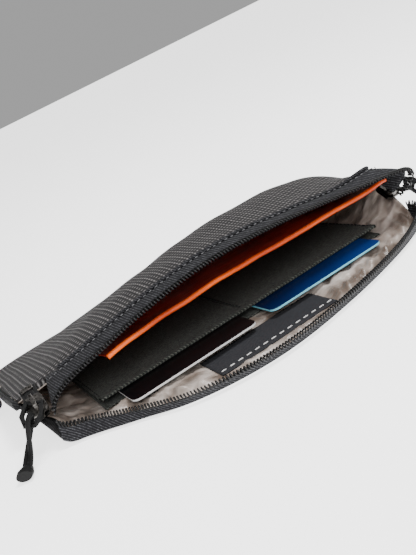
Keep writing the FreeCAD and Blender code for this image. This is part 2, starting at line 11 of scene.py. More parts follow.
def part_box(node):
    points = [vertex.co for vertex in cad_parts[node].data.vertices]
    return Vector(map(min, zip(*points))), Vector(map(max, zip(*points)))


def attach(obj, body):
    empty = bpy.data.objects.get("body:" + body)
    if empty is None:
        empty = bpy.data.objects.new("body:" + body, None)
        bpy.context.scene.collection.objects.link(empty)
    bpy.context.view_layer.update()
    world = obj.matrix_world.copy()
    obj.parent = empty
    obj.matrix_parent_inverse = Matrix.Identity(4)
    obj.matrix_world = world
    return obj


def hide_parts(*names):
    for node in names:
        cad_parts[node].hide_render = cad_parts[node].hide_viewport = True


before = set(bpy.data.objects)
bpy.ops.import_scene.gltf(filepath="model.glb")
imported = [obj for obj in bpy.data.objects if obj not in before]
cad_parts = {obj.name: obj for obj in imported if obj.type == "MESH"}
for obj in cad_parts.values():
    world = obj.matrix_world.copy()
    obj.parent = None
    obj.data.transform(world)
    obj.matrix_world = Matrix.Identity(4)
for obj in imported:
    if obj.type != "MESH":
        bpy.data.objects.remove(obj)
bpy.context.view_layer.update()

# ---------------------------------------------------------------- sizes, in metres
SHELL = 0.001  # outer fabric with its backing
SATIN = 0.0003
TAPE = 0.0006
ENDS_OF_FRONT = ((-0.0752, -0.0208), (-0.088, -0.016))  # left end of its mouth edge, and of its seam
ENDS_OF_BACK = ((-0.0818, -0.0360), (-0.088, -0.016))
COIL_WIRE = 0.00034
COIL_ACROSS = 0.0011
COIL_THICK = 0.0006
WELT = 0.0007
MOUTH_TRIM, SEAM_TRIM = 9, 4  # of 300: where the floor lining stops short of both ends of its edges
UP = Vector((0, 0, 1))
LEAN_OF_TAPE = 0.0065  # how far the lower tape reaches in over the lining at its left end
UNDER_LEANING_TAPE = Vector((0.0014, 0.0021, 0.0))  # the lining's edge keeps this far in there
CORD_THICK = 0.0018
STITCH_THICK = 0.00022

CAMERA_PLACE = Vector((-0.1034, -0.317, 0.1164))
CAMERA_RIGHT = Vector((0.811, -0.411, -0.4165))
CAMERA_UP = Vector((0.497, 0.108, 0.8606))
LENS = 54.3


# ---------------------------------------------------------------- reading the frame
def up_faces(node, least=0.1):
    """The faces of a CAD node that look up, each as its corner points."""
    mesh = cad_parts[node].data
    corners = [v.co.copy() for v in mesh.vertices]
    return [[corners[i] for i in face.vertices] for face in mesh.polygons if face.normal.z > least]


def tree_of(faces):
    """A search tree over loose faces."""
    points, polygons = [], []
    for face in faces:
        polygons.append(list(range(len(points), len(points) + len(face))))
        points += face
    return BVHTree.FromPolygons(points, polygons)


def height_at(tree, x, y):
    """Height of a surface over a place on the floor, or its nearest edge's height beside it."""
    hit = tree.ray_cast(Vector((x, y, 1.0)), Vector((0, 0, -1)))[0]
    if hit is None:
        near = tree.find_nearest(Vector((x, y, 0.01)))[0]
        hit = tree.find_nearest(Vector((x, y, near.z)))[0]
    return hit.z


def rim_of(faces):
    """The longest outer edge of a set of faces, in order."""
    mesh = bmesh.new()
    for face in faces:
        mesh.faces.new([mesh.verts.new(p) for p in face])
    bmesh.ops.remove_doubles(mesh, verts=mesh.verts, dist=2e-6)
    mesh.verts.index_update()
    mesh.edges.index_update()
    beside = {}
    for edge in mesh.edges:
        if edge.is_boundary:
            one, two = (v.index for v in edge.verts)
            beside.setdefault(one, []).append(two)
            beside.setdefault(two, []).append(one)
    mesh.verts.ensure_lookup_table()
    best, seen = [], set()
    for start in sorted(beside):
        if start in seen:
            continue
        loop, here = [start], start
        seen.add(start)
        while True:
            onward = [v for v in beside[here] if v not in seen]
            if not onward:
                break
            here = onward[0]
            seen.add(here)
            loop.append(here)
        if len(loop) > len(best):
            best = loop
    places = [mesh.verts[i].co.copy() for i in best]
    mesh.free()
    return places


def plan_rim(tree, centre, count=900):
    """The outer edge of a surface seen from above, found along spokes from a place inside it."""
    found = []
    for k in range(count):
        turn = 2 * math.pi * k / count
        spoke = Vector((math.cos(turn), math.sin(turn)))
        inside, outside = 0.0, 0.13
        for _ in range(20):
            reach = (inside + outside) / 2
            x, y = centre[0] + spoke.x * reach, centre[1] + spoke.y * reach
            if tree.ray_cast(Vector((x, y, 1.0)), Vector((0, 0, -1)))[0] is None:
                outside = reach
            else:
                inside = reach
        x, y = centre[0] + spoke.x * inside, centre[1] + spoke.y * inside
        found.append(Vector((x, y, height_at(tree, x, y))))
    return found


def nearest_index(points, place):
    spot = Vector((place[0], place[1]))
    return min(range(len(points)), key=lambda i: (points[i].xy - spot).length)


def between(points, first, last):
    """The two ways round a loop from one index to another."""
    count = len(points)
    ahead = [points[(first + k) % count] for k in range((last - first) % count + 1)]
    back = [points[(first - k) % count] for k in range((first - last) % count + 1)]
    return ahead, back


def spaced(points, count):
    """A polyline resampled to evenly spaced points."""
    lengths = [0.0]
    for one, two in zip(points, points[1:]):
        lengths.append(lengths[-1] + (two - one).length)
    found, k = [], 0
    for i in range(count):
        want = lengths[-1] * i / (count - 1)
        while k < len(points) - 2 and lengths[k + 1] < want:
            k += 1
        share = (want - lengths[k]) / max(lengths[k + 1] - lengths[k], 1e-9)
        found.append(points[k].lerp(points[k + 1], min(max(share, 0.0), 1.0)))
    return found


def evened(line, times):
    """A polyline smoothed a number of times with its ends held."""
    for _ in range(times):
        inner = [(a + b * 2 + c) / 4 for a, b, c in zip(line, line[1:], line[2:])]
        line = [line[0].copy(), *inner, line[-1].copy()]
    return line


def panel_edges(tree, centre, ends):
    """A panel's mouth edge and its seam edge, both from left to right."""
    loop = plan_rim(tree, centre)
    (mouth_x, mouth_y), (seam_x, seam_y) = ends
    marks = [nearest_index(loop, p) for p in
             ((mouth_x, mouth_y), (-mouth_x, mouth_y), (seam_x, seam_y), (-seam_x, seam_y))]
    mouth = min(between(loop, marks[0], marks[1]), key=lambda way: max(p.y for p in way))
    seam = max(between(loop, marks[2], marks[3]), key=lambda way: max(p.y for p in way))
    return mouth, seam


def tooth_line(node):
    """The middles of the separate teeth in a CAD node, from left to right along the mouth."""
    mesh = bmesh.new()
    mesh.from_mesh(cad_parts[node].data)
    bmesh.ops.remove_doubles(mesh, verts=mesh.verts, dist=1e-6)
    seen, middles = set(), []
    for vert in mesh.verts:
        if vert in seen:
            continue
        group, queue = [], [vert]
        seen.add(vert)
        while queue:
            here = queue.pop()
            group.append(here.co.copy())
            for edge in here.link_edges:
                other = edge.other_vert(here)
                if other not in seen:
                    seen.add(other)
                    queue.append(other)
        middles.append(sum(group, Vector()) / len(group))
    mesh.free()
    start = min(middles, key=lambda p: p.x + 0.5 * abs(p.y + 0.036))
    line = [start]
    middles.remove(start)
    while middles:
        step = min(middles, key=lambda p: (p - line[-1]).length)
        middles.remove(step)
        line.append(step)
    return line


# ---------------------------------------------------------------- building meshes
def link_mesh(name, points, faces, smooth=True):
    mesh = bpy.data.meshes.new(name)
    mesh.from_pydata([tuple(p) for p in points], [], faces)
    mesh.validate()
    clean = bmesh.new()
    clean.from_mesh(mesh)
    bmesh.ops.recalc_face_normals(clean, faces=clean.faces)
    clean.to_mesh(mesh)
    clean.free()
    for face in mesh.polygons:
        face.use_smooth = smooth
    piece = bpy.data.objects.new(name, mesh)
    bpy.context.scene.collection.objects.link(piece)
    return piece


def row_normals(rows):
    """The unit normal at each point of a grid, on its upper side."""
    found = []
    for i, row in enumerate(rows):
        line = []
        for j in range(len(row)):
            along = rows[min(i + 1, len(rows) - 1)][j] - rows[max(i - 1, 0)][j]
            deep = row[min(j + 1, len(row) - 1)] - row[max(j - 1, 0)]
            line.append(along.cross(deep).normalized())
        found.append(line)
    return found


def cloth_piece(name, rows, thick):
    """A closed sheet: the grid is its upper side, and thick lies below it."""
    facing = row_normals(rows)
    high, wide = len(rows), len(rows[0])
    upper = [p for row in rows for p in row]
    lower = [p - n * thick for row, line in zip(rows, facing) for p, n in zip(row, line)]
    faces = []
    low = len(upper)
    for i in range(high - 1):
        for j in range(wide - 1):
            a, b = i * wide + j, (i + 1) * wide + j
            faces.append((a, b, b + 1, a + 1))
            faces.append((low + a, low + a + 1, low + b + 1, low + b))
    ring = [(i, 0) for i in range(high)] + [(high - 1, j) for j in range(1, wide)]
    ring += [(i, wide - 1) for i in range(high - 2, -1, -1)] + [(0, j) for j in range(wide - 2, 0, -1)]
    ids = [i * wide + j for i, j in ring]
    for one, two in zip(ids, ids[1:] + ids[:1]):
        faces.append((one, low + one, low + two, two))
    return link_mesh(name, upper + lower, faces)


def grid_between(front, rear, along, deep, height=None):
    """Grid rows between two edges; height, where there is one, gives z over each place."""
    first, last = spaced(front, along), spaced(rear, along)
    rows = []
    for a, b in zip(first, last):
        row = []
        for j in range(deep):
            share = j / (deep - 1)
            place = a.lerp(b, share)
            if height:
                place.z = height(place.x, place.y)
            row.append(place)
        rows.append(row)
    return rows


def tube_faces(rings, sides, start=0):
    """Faces between rings of points in a row, with a cap at each end."""
    faces = []
    for i in range(rings - 1):
        here = start + i * sides
        for k in range(sides):
            after = (k + 1) % sides
            faces.append((here + k, here + after, here + sides + after, here + sides + k))
    faces.append(tuple(range(start, start + sides)))
    faces.append(tuple(range(start + (rings - 1) * sides, start + rings * sides)))
    return faces


def sweep(name, line, profile):
    """A closed profile of (side, up) points swept along a line; its ends are capped."""
    points = []
    for i, place in enumerate(line):
        ahead, behind = line[min(i + 1, len(line) - 1)], line[max(i - 1, 0)]
        run = (ahead - behind).normalized()
        side = run.cross(UP).normalized()
        up = side.cross(run)
        points += [place + side * s + up * u for s, u in profile]
    return link_mesh(name, points, tube_faces(len(line), len(profile)))


def round_profile(radius, sides=10, flat=1.0):
    turns = [2 * math.pi * k / sides for k in range(sides)]
    return [(radius * math.cos(t), radius * flat * math.sin(t)) for t in turns]


def soft_box_profile(half_side, half_up, round_by, steps=3):
    """A rectangle with rounded corners, round its middle."""
    found = []
    for quarter, (sx, sy) in enumerate(((1, 1), (-1, 1), (-1, -1), (1, -1))):
        for k in range(steps + 1):
            turn = math.pi / 2 * (quarter + k / steps)
            found.append((sx * (half_side - round_by) + round_by * math.cos(turn),
                          sy * (half_up - round_by) + round_by * math.sin(turn)))
    return found


def capsules(name, spots, length, thick):
    """Short rounded threads, each at a place along a direction, joined in one mesh."""
    points, faces = [], []
    rings = ((-0.5, 0.35), (-0.4, 0.9), (0.0, 1.0), (0.4, 0.9), (0.5, 0.35))
    sides = 6
    for place, run, up in spots:
        side = run.cross(up).normalized()
        base = len(points)
        for along, wide in rings:
            for k in range(sides):
                turn = 2 * math.pi * k / sides
                points.append(place + run * (length * along) + side * (thick * wide * math.cos(turn))
                              + up * (thick * wide * math.sin(turn)))
        faces += tube_faces(len(rings), sides, base)
    return link_mesh(name, points, faces)


def flat_cut(rows):
    """Width, length and area of a grid of cloth laid flat."""
    wide = max(sum((b - a).length for a, b in zip(line, line[1:])) for line in zip(*rows))
    long = max(sum((b - a).length for a, b in zip(row, row[1:])) for row in rows)
    area = 0.0
    for first, second in zip(rows, rows[1:]):
        for a, b, c, d in zip(first, first[1:], second, second[1:]):
            area += ((b - a).cross(c - a).length + (b - d).cross(c - d).length) / 2
    return wide, long, min(area, wide * long)


def clamp(value):
    return min(max(value, 0.0), 1.0)


def ripple(x, y, size, seed):
    """Smooth height noise between about -1 and 1, with folds of the given size in metres."""
    return noise.noise(Vector((x / size, y / size, seed)))


def crumple(rows, slack, free, cap, frames=22):
    """The grid after a cloth simulation of slightly too much fabric, held where free is 0."""
    scale = 10.0
    high, wide = len(rows), len(rows[0])
    points = [p * scale for row in rows for p in row]
    shifted = [p + Vector((0, 0, 0.004 * ripple(p.x, p.y, 0.05, 7.0))) for p in points]
    faces = [(i * wide + j, (i + 1) * wide + j, (i + 1) * wide + j + 1, i * wide + j + 1)
             for i in range(high - 1) for j in range(wide - 1)]
    piece = link_mesh("crumpling", shifted, faces)
    held = piece.vertex_groups.new(name="held")
    for i in range(high):
        for j in range(wide):
            p = rows[i][j]
            hold = 1.0 - free(p.x, p.y)
            if i in (0, high - 1) or j in (0, wide - 1):
                hold = 1.0
            if hold > 0:
                held.add([i * wide + j], hold, "REPLACE")
    cloth = piece.modifiers.new("cloth", "CLOTH")
    cloth.settings.quality = 5
    cloth.settings.mass = 0.1
    cloth.settings.tension_stiffness = 12
    cloth.settings.compression_stiffness = 12
    cloth.settings.shear_stiffness = 6
    cloth.settings.bending_stiffness = 0.02
    cloth.settings.air_damping = 3
    cloth.settings.vertex_group_mass = "held"
    cloth.settings.shrink_min = -slack
    cloth.settings.effector_weights.gravity = 0.05
    cloth.point_cache.frame_start = 1
    cloth.point_cache.frame_end = frames
    scene = bpy.context.scene
    for number in range(1, frames + 1):
        scene.frame_set(number)
    shape = piece.evaluated_get(bpy.context.evaluated_depsgraph_get()).to_mesh()
    moved = [v.co / scale for v in shape.vertices]
    scene.frame_set(1)
    bpy.data.objects.remove(piece)
    found = []
    for i in range(high):
        line = []
        for j in range(wide):
            rest = rows[i][j]
            shift = moved[i * wide + j] - rest
            longest = max(shift.length, 1e-9)
            line.append(rest + shift * (cap * math.tanh(longest / cap) / longest))
        found.append(line)
    return found


# ---------------------------------------------------------------- materials
class Look:
    """A material under construction: a shader and short ways to add nodes to it."""

    def __init__(self, name, rough, metallic=0.0, sheen=0.0, coat=0.0, specular=0.2):
        self.material = bpy.data.materials.new(name)
        self.material.use_nodes = True
        self.tree = self.material.node_tree
        self.shader = self.tree.nodes["Principled BSDF"]
        self.put("Roughness", rough)
        self.put("Metallic", metallic)
        self.put("Sheen Weight", sheen)
        self.put("Coat Weight", coat)
        self.put("Specular IOR Level", specular)
        place = self.tree.nodes.new("ShaderNodeTexCoord")
        self.place = place.outputs["Object"]
        parts = self.tree.nodes.new("ShaderNodeSeparateXYZ")
        self.tree.links.new(self.place, parts.inputs[0])
        self.x, self.y, self.z = parts.outputs

    def put(self, socket, value):
        if isinstance(value, bpy.types.NodeSocket):
            self.tree.links.new(value, self.shader.inputs[socket])
        else:
            self.shader.inputs[socket].default_value = value

    def math(self, kind, *values):
        node = self.tree.nodes.new("ShaderNodeMath")
        node.operation = kind
        for socket, value in zip(node.inputs, values):
            if isinstance(value, bpy.types.NodeSocket):
                self.tree.links.new(value, socket)
            else:
                socket.default_value = value
        return node.outputs[0]

    def wave(self, along, pitch, shift=0.0):
        """0 to 1, once per pitch."""
        turns = self.math("MULTIPLY_ADD", along, 2 * math.pi / pitch, shift)
        return self.math("MULTIPLY_ADD", self.math("SINE", turns), 0.5, 0.5)

    def noise(self, size, detail=3.0, rough=0.55, stretch=(1, 1, 1)):
        """Noise from 0 to 1 with features of about size metres."""
        mapping = self.tree.nodes.new("ShaderNodeMapping")
        mapping.inputs["Scale"].default_value = [s / size for s in stretch]
        self.tree.links.new(self.place, mapping.inputs["Vector"])
        node = self.tree.nodes.new("ShaderNodeTexNoise")
        node.inputs["Scale"].default_value = 1.0
        node.inputs["Detail"].default_value = detail
        node.inputs["Roughness"].default_value = rough
        self.tree.links.new(mapping.outputs[0], node.inputs["Vector"])
        return node.outputs[0]

    def ramp(self, value, *stops):
        """Colours at places along a value."""
        node = self.tree.nodes.new("ShaderNodeValToRGB")
        points = node.color_ramp.elements
        while len(points) < len(stops):
            points.new(0.5)
        for point, (place, colour) in zip(points, stops):
            point.position = place
            point.color = (*colour, 1.0)
        self.tree.links.new(value, node.inputs[0])
        return node.outputs[0]

    def mix(self, share, first, second):
        node = self.tree.nodes.new("ShaderNodeMix")
        node.data_type = "RGBA"
        for socket, value in zip((node.inputs[0], node.inputs[6], node.inputs[7]), (share, first, second)):
            if isinstance(value, bpy.types.NodeSocket):
                self.tree.links.new(value, socket)
            else:
                socket.default_value = value if socket == node.inputs[0] else (*value, 1.0)
        return node.outputs[2]

    def bump(self, height, depth, strength=1.0):
        """Adds a bump of the given depth in metres over the last one."""
        node = self.tree.nodes.new("ShaderNodeBump")
        node.inputs["Strength"].default_value = strength
        node.inputs["Distance"].default_value = depth
        self.tree.links.new(height, node.inputs["Height"])
        socket = self.shader.inputs["Normal"]
        if socket.is_linked:
            self.tree.links.new(socket.links[0].from_socket, node.inputs["Normal"])
        self.tree.links.new(node.outputs[0], socket)

    def fabric(self, dark, light, pitch, blotch=0.012):
        """Plain weave of two yarn tones with an uneven dye."""
        warp = self.wave(self.x, pitch)
        weft = self.wave(self.y, pitch)
        yarn = self.math("MULTIPLY", warp, weft)
        fleck = self.noise(pitch * 1.3, 2.0, 0.7)
        tone = self.math("ADD", self.math("MULTIPLY", yarn, 0.55), self.math("MULTIPLY", fleck, 0.45))
        base = self.ramp(tone, (0.15, dark), (0.75, light))
        dye = self.math("MULTIPLY_ADD", self.noise(blotch, 3.0), 0.5, 0.1)
        self.put("Base Color", self.mix(dye, base, dark))
        self.bump(yarn, pitch * 0.25, 0.8)
        return yarn


def front_weave():
    """Dobby weave: thin light ribs that run from the mouth to the rear with rows of dots between them."""
    look = Look("front_weave", 0.8, sheen=0.03)
    rib_pitch, dot_pitch = 0.0036, 0.0026
    bent = look.math("MULTIPLY_ADD", look.noise(0.03, 1.0), 0.0008, look.x)
    light_rib = look.math("POWER", look.wave(bent, rib_pitch), 7.0)
    other = look.wave(bent, rib_pitch, math.pi)
    dots = look.math("MULTIPLY", look.math("POWER", other, 3.0),
                     look.math("POWER", look.wave(look.y, dot_pitch), 3.0))
    yarn = look.math("MULTIPLY", look.wave(look.y, 0.0009), look.wave(look.x, 0.0009))
    dashes = look.math("MULTIPLY_ADD", look.wave(look.y, dot_pitch, math.pi), 0.7, 0.3)
    high = look.math("ADD", look.math("MULTIPLY", light_rib, dashes), dots)
    tone = look.math("MULTIPLY_ADD", yarn, 0.16, look.math("MULTIPLY", high, 0.9))
    tone = look.math("MULTIPLY", tone, look.math("MULTIPLY_ADD", look.noise(0.0011, 2.0), 0.9, 0.5))
    look.put("Base Color", look.ramp(tone, (0.02, (0.010, 0.0095, 0.010)), (0.35, (0.034, 0.031, 0.032)),
                                     (0.95, (0.26, 0.245, 0.24))))
    look.bump(high, 0.00035, 0.9)
    look.bump(yarn, 0.00016, 0.7)
    look.bump(look.noise(0.009, 2.0), 0.0008, 0.35)
    return look.material


def back_fabric():
    """Plain dense pack cloth for the side that lies on the table."""
    look = Look("back_fabric", 0.82, sheen=0.03)
    look.fabric((0.008, 0.008, 0.009), (0.045, 0.043, 0.044), 0.0008)
    look.bump(look.noise(0.01, 2.0), 0.0008, 0.3)
    return look.material


def satin():
    """Silver-beige satin lining with fine creases; its colour follows the crease bump, dark brown in the
    hollows as painted shade and light on the ridges as painted highlight.
    """
    look = Look("satin_lining", 0.33, sheen=0.05, specular=0.6)
    look.put("Anisotropic", 0.4)
    crease = look.noise(0.012, 2.5, 0.5, (1.0, 1.5, 1.0))
    # painted shade and highlight: the crease noise that makes the bump also sets the colour
    tone = look.ramp(crease, (0.36, (0.12, 0.09, 0.07)), (0.5, (0.29, 0.24, 0.205)),
                     (0.66, (0.50, 0.44, 0.395)))
    thread = look.wave(look.y, 0.00035)
    look.put("Base Color", look.mix(look.math("MULTIPLY", thread, 0.12), tone, (0.18, 0.14, 0.12)))
    look.bump(crease, 0.0030, 0.9)
    look.bump(thread, 0.00005, 0.5)
    return look.material


def orange_nylon(name, deep, bright):
    """Glossy orange taffeta whose colour follows its fold bumps, deep red in the hollows as painted shade
    and bright on the ridges as painted highlight; it is made twice, a copy darkened all over as painted
    shade for the divider and a lit copy for the hem roll.
    """
    look = Look(name, 0.3, coat=0.04, specular=0.3)
    look.put("Coat Roughness", 0.25)
    weave = look.math("MULTIPLY", look.wave(look.x, 0.0004), look.wave(look.y, 0.0004))
    pull = look.noise(0.012, 3.0, 0.5, (0.5, 2.0, 1.0))
    # painted shade and highlight: the colour follows the fold bump, darkest in its hollows and brightest on
    # its ridges
    base = look.ramp(pull, (0.25, deep), (0.75, bright))
    look.put("Base Color", look.mix(look.math("MULTIPLY", weave, 0.25), base, deep))
    look.bump(pull, 0.0012, 0.5)
    look.bump(weave, 0.00005, 0.5)
    return look.material


def pocket_weave():
    """Dark stretch twill of the card pockets."""
    look = Look("pocket_weave", 0.9, sheen=0.03)
    slope = look.math("ADD", look.x, look.math("MULTIPLY", look.y, 1.4))
    twill = look.wave(slope, 0.0014)
    fleck = look.noise(0.0009, 2.0, 0.85)
    tone = look.math("ADD", look.math("MULTIPLY", twill, 0.4), look.math("MULTIPLY", fleck, 0.6))
    look.put("Base Color", look.ramp(tone, (0.3, (0.008, 0.009, 0.008)), (0.52, (0.028, 0.030, 0.027)),
                                     (0.75, (0.15, 0.16, 0.14))))
    look.bump(twill, 0.0002, 0.8)
    look.bump(fleck, 0.0002, 0.6)
    return look.material


def zip_tape():
    """Speckled charcoal herringbone tape."""
    look = Look("zip_tape", 0.85, sheen=0.03)
    ribs = look.wave(look.math("ADD", look.x, look.z), 0.0012)
    fleck = look.noise(0.0008, 2.0, 0.85)
    tone = look.math("ADD", look.math("MULTIPLY", ribs, 0.3), look.math("MULTIPLY", fleck, 0.7))
    look.put("Base Color", look.ramp(tone, (0.3, (0.003, 0.003, 0.004)), (0.55, (0.012, 0.012, 0.014)),
                                     (0.8, (0.09, 0.09, 0.098))))
    look.bump(ribs, 0.00015, 0.7)
    look.bump(fleck, 0.00015, 0.6)
    return look.material


def plain_black(name, rough, tone, fleck_size=0.0008, grain=0.00008, coat=0.0):
    """Dark plastic or yarn with a fine grain and slightly worn high spots."""
    look = Look(name, rough, coat=coat)
    fleck = look.noise(fleck_size, 3.0, 0.6)
    wear = look.noise(0.004, 2.0)
    base = look.ramp(fleck, (0.3, (tone * 0.6, tone * 0.6, tone * 0.62)),
                     (0.75, (tone * 1.8, tone * 1.75, tone * 1.8)))
    look.put("Base Color", look.mix(look.math("MULTIPLY", wear, 0.4), base, (tone * 0.5,) * 3))
    look.put("Roughness", look.math("MULTIPLY_ADD", fleck, 0.2, rough - 0.1))
    look.bump(fleck, grain, 0.8)
    return look.material


def webbing():
    """Ribbed narrow webbing."""
    look = Look("black_webbing", 0.85, sheen=0.03)
    slope = look.math("ADD", look.x, look.z)
    ribs = look.math("MULTIPLY", look.wave(look.y, 0.0009), look.wave(slope, 0.0012))
    fleck = look.noise(0.0007, 2.0, 0.7)
    tone = look.math("ADD", look.math("MULTIPLY", ribs, 0.5), look.math("MULTIPLY", fleck, 0.5))
    look.put("Base Color", look.ramp(tone, (0.2, (0.003, 0.003, 0.0035)), (0.8, (0.024, 0.024, 0.026))))
    look.bump(ribs, 0.0003, 0.9)
    return look.material


def label_fabric():
    look = Look("label_fabric", 0.75, sheen=0.02)
    look.fabric((0.010, 0.0105, 0.013), (0.042, 0.042, 0.048), 0.0006)
    return look.material


def white_thread():
    look = Look("white_thread", 0.6, sheen=0.3)
    twist = look.wave(look.math("ADD", look.x, look.math("MULTIPLY", look.y, 2.0)), 0.0004)
    look.put("Base Color", look.ramp(twist, (0.0, (0.55, 0.54, 0.53)), (1.0, (0.86, 0.85, 0.84))))
    look.bump(twist, 0.00008, 0.8)
    return look.material


def grey_thread():
    look = Look("grey_thread", 0.7, sheen=0.2)
    twist = look.wave(look.math("ADD", look.x, look.y), 0.0004)
    look.put("Base Color", look.ramp(twist, (0.0, (0.05, 0.05, 0.053)), (1.0, (0.19, 0.19, 0.20))))
    look.bump(twist, 0.00008, 0.8)
    return look.material


def card_look(name, low, high, edge, box):
    """Glossy printed plastic: a soft gradient across the face that is a painted sheen, and a light rim
    along the sides that is partly the bare core and partly a painted highlight.
    """
    look = Look(name, 0.3, coat=0.03, specular=0.25)
    look.put("Coat Roughness", 0.1)
    low_x, high_x = box[0][0], box[1][0]
    # painted sheen: the face gets lighter towards +x, broken up by noise
    along = look.math("DIVIDE", look.math("SUBTRACT", look.x, low_x), high_x - low_x)
    cloud = look.noise(0.02, 3.0, 0.5)
    share = look.math("MULTIPLY_ADD", cloud, 0.5, look.math("MULTIPLY", along, 0.5))
    face = look.ramp(share, (0.2, low), (0.85, high))
    # the side faces take the rim colour: the light core, also serving as a painted highlight
    normal = look.tree.nodes.new("ShaderNodeNewGeometry").outputs["Normal"]
    upright = look.tree.nodes.new("ShaderNodeSeparateXYZ")
    look.tree.links.new(normal, upright.inputs[0])
    side = look.math("LESS_THAN", look.math("ABSOLUTE", upright.outputs[2]), 0.85)
    look.put("Base Color", look.mix(side, face, edge))
    fine = look.noise(0.0015, 2.0)
    look.put("Roughness", look.math("MULTIPLY_ADD", fine, 0.1, 0.25))
    look.bump(fine, 0.00003, 0.3)
    return look.material


def gunmetal():
    look = Look("gunmetal", 0.3, metallic=1.0)
    cast = look.noise(0.0009, 3.0, 0.6)
    look.put("Base Color", look.ramp(cast, (0.3, (0.035, 0.033, 0.031)), (0.7, (0.16, 0.15, 0.14))))
    look.put("Roughness", look.math("MULTIPLY_ADD", cast, 0.25, 0.18))
    look.bump(cast, 0.00005, 0.6)
    return look.material


LOOKS = {
    "front_weave": front_weave(),
    "back_fabric": back_fabric(),
    "satin_lining": satin(),
    # painted shade: the divider's copy is darkened all over to stand for the shade inside the pouch; the
    # hem roll's copy below is the same nylon, lit
    "orange_nylon": orange_nylon("orange_nylon", (0.06, 0.0015, 0.0005), (0.22, 0.0075, 0.001)),
    "orange_hem_lit": orange_nylon("orange_hem_lit", (0.30, 0.016, 0.002), (0.80, 0.12, 0.008)),
    "pocket_weave": pocket_weave(),
    "zip_tape": zip_tape(),
    "zip_coil": plain_black("zip_coil", 0.42, 0.008, 0.0006, 0.00004, 0.1),
    "black_webbing": webbing(),
    "label_fabric": label_fabric(),
    "white_thread": white_thread(),
    "grey_thread": grey_thread(),
    # per card: the face's dark colour, its painted sheen colour, and the rim colour that is partly a
    # painted highlight
    "black_card": card_look("black_card", (0.0025, 0.0025, 0.003), (0.010, 0.006, 0.006), (0.8, 0.79, 0.78),
                            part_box("card_left")),
    "blue_card": card_look("blue_card", (0.002, 0.006, 0.028), (0.004, 0.030, 0.15), (0.25, 0.72, 0.88),
                           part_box("card_right")),
    "gunmetal": gunmetal(),
    "black_ring": plain_black("black_ring", 0.45, 0.004),
    "black_cord": plain_black("black_cord", 0.8, 0.0045, 0.0005, 0.0002),
    "black_grip": plain_black("black_grip", 0.6, 0.004),
}


# ---------------------------------------------------------------- putting pieces in place
def finish_piece(piece, look, nodes, body="pouch"):
    """Gives a new piece its material and its body, and hides the CAD nodes it stands for."""
    piece.data.materials.clear()
    piece.data.materials.append(LOOKS[look])
    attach(piece, body)
    if nodes:
        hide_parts(*nodes)
    return piece


def declare(rows):
    wide, long, area = flat_cut(rows)
    wide, long = math.ceil(wide * 1000) / 1000, math.ceil(long * 1000) / 1000
    min(area, wide * long)


def keep_cad(node, look, bevel=0.0):
    """A CAD node that is shown as it is, with its edges softened."""
    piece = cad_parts[node]
    piece.data.materials.clear()
    piece.data.materials.append(LOOKS[look])
    for face in piece.data.polygons:
        face.use_smooth = False
    if bevel:
        weld = piece.modifiers.new("weld", "WELD")
        weld.merge_threshold = 1e-6
        edge = piece.modifiers.new("edges", "BEVEL")
        edge.width = bevel
        edge.segments = 2
        edge.limit_method = "ANGLE"
        edge.angle_limit = math.radians(35)
        edge.harden_normals = True


# ---------------------------------------------------------------- outer panels
def front_shell():
    """The upper outer panel: full, with soft dents behind the zip and along the seams."""
    tree = tree_of(up_faces("front_panel"))
    mouth, seam = panel_edges(tree, (0.0, 0.015), ENDS_OF_FRONT)

    def height(x, y):
        z = height_at(tree, x, y)
        inner = clamp((y + 0.034) / 0.02) * clamp((0.066 - y) / 0.02)
        inner *= clamp((0.08 - abs(x)) / 0.02)
        dent = 0.9 * ripple(x, y, 0.035, 3.0) + 0.45 * ripple(x, y, 0.014, 9.0)
        return z + 0.0009 * dent * inner

    rows = grid_between(mouth, seam, 150, 70, height)
    piece = cloth_piece("front_shell", rows, SHELL)
    finish_piece(piece, "front_weave", ["front_panel"])
    declare(rows)
    return mouth, seam, tree


def front_lining_cloth(mouth, seam, tree):
    """Satin under the front panel, hanging a little off it in creases."""
    def height(x, y):
        inner = clamp((y + 0.036) / 0.01) * clamp((0.08 - abs(x)) / 0.01)
        droop = 0.5 + 0.5 * ripple(x, y, 0.009, 5.0)
        return height_at(tree, x, y) - SHELL - 0.00012 - 0.0007 * droop * inner

    rows = grid_between(mouth, seam, 110, 50, height)
    piece = cloth_piece("front_lining_cloth", rows, SATIN)
    finish_piece(piece, "satin_lining", ["front_lining"])
    declare(rows)


def back_shell():
    tree = tree_of(up_faces("back_panel"))
    mouth, seam = panel_edges(tree, (0.0, -0.015), ENDS_OF_BACK)
    rows = grid_between(mouth, seam, 130, 50, lambda x, y: height_at(tree, x, y))
    piece = cloth_piece("back_shell", rows, SHELL)
    finish_piece(piece, "back_fabric", ["back_panel"])
    declare(rows)
    return mouth


def loose_lining(x, y):
    """Where the floor lining is free to crumple: outside the pockets, the label and the seams."""
    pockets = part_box("pocket_backing")
    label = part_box("label")
    free = 1.0
    for low, high in (pockets, label):
        out = max(low.x - x, x - high.x, low.y - y, y - high.y)
        free = min(free, max(out, 0.0) / 0.005)
    return min(free, 1.0)


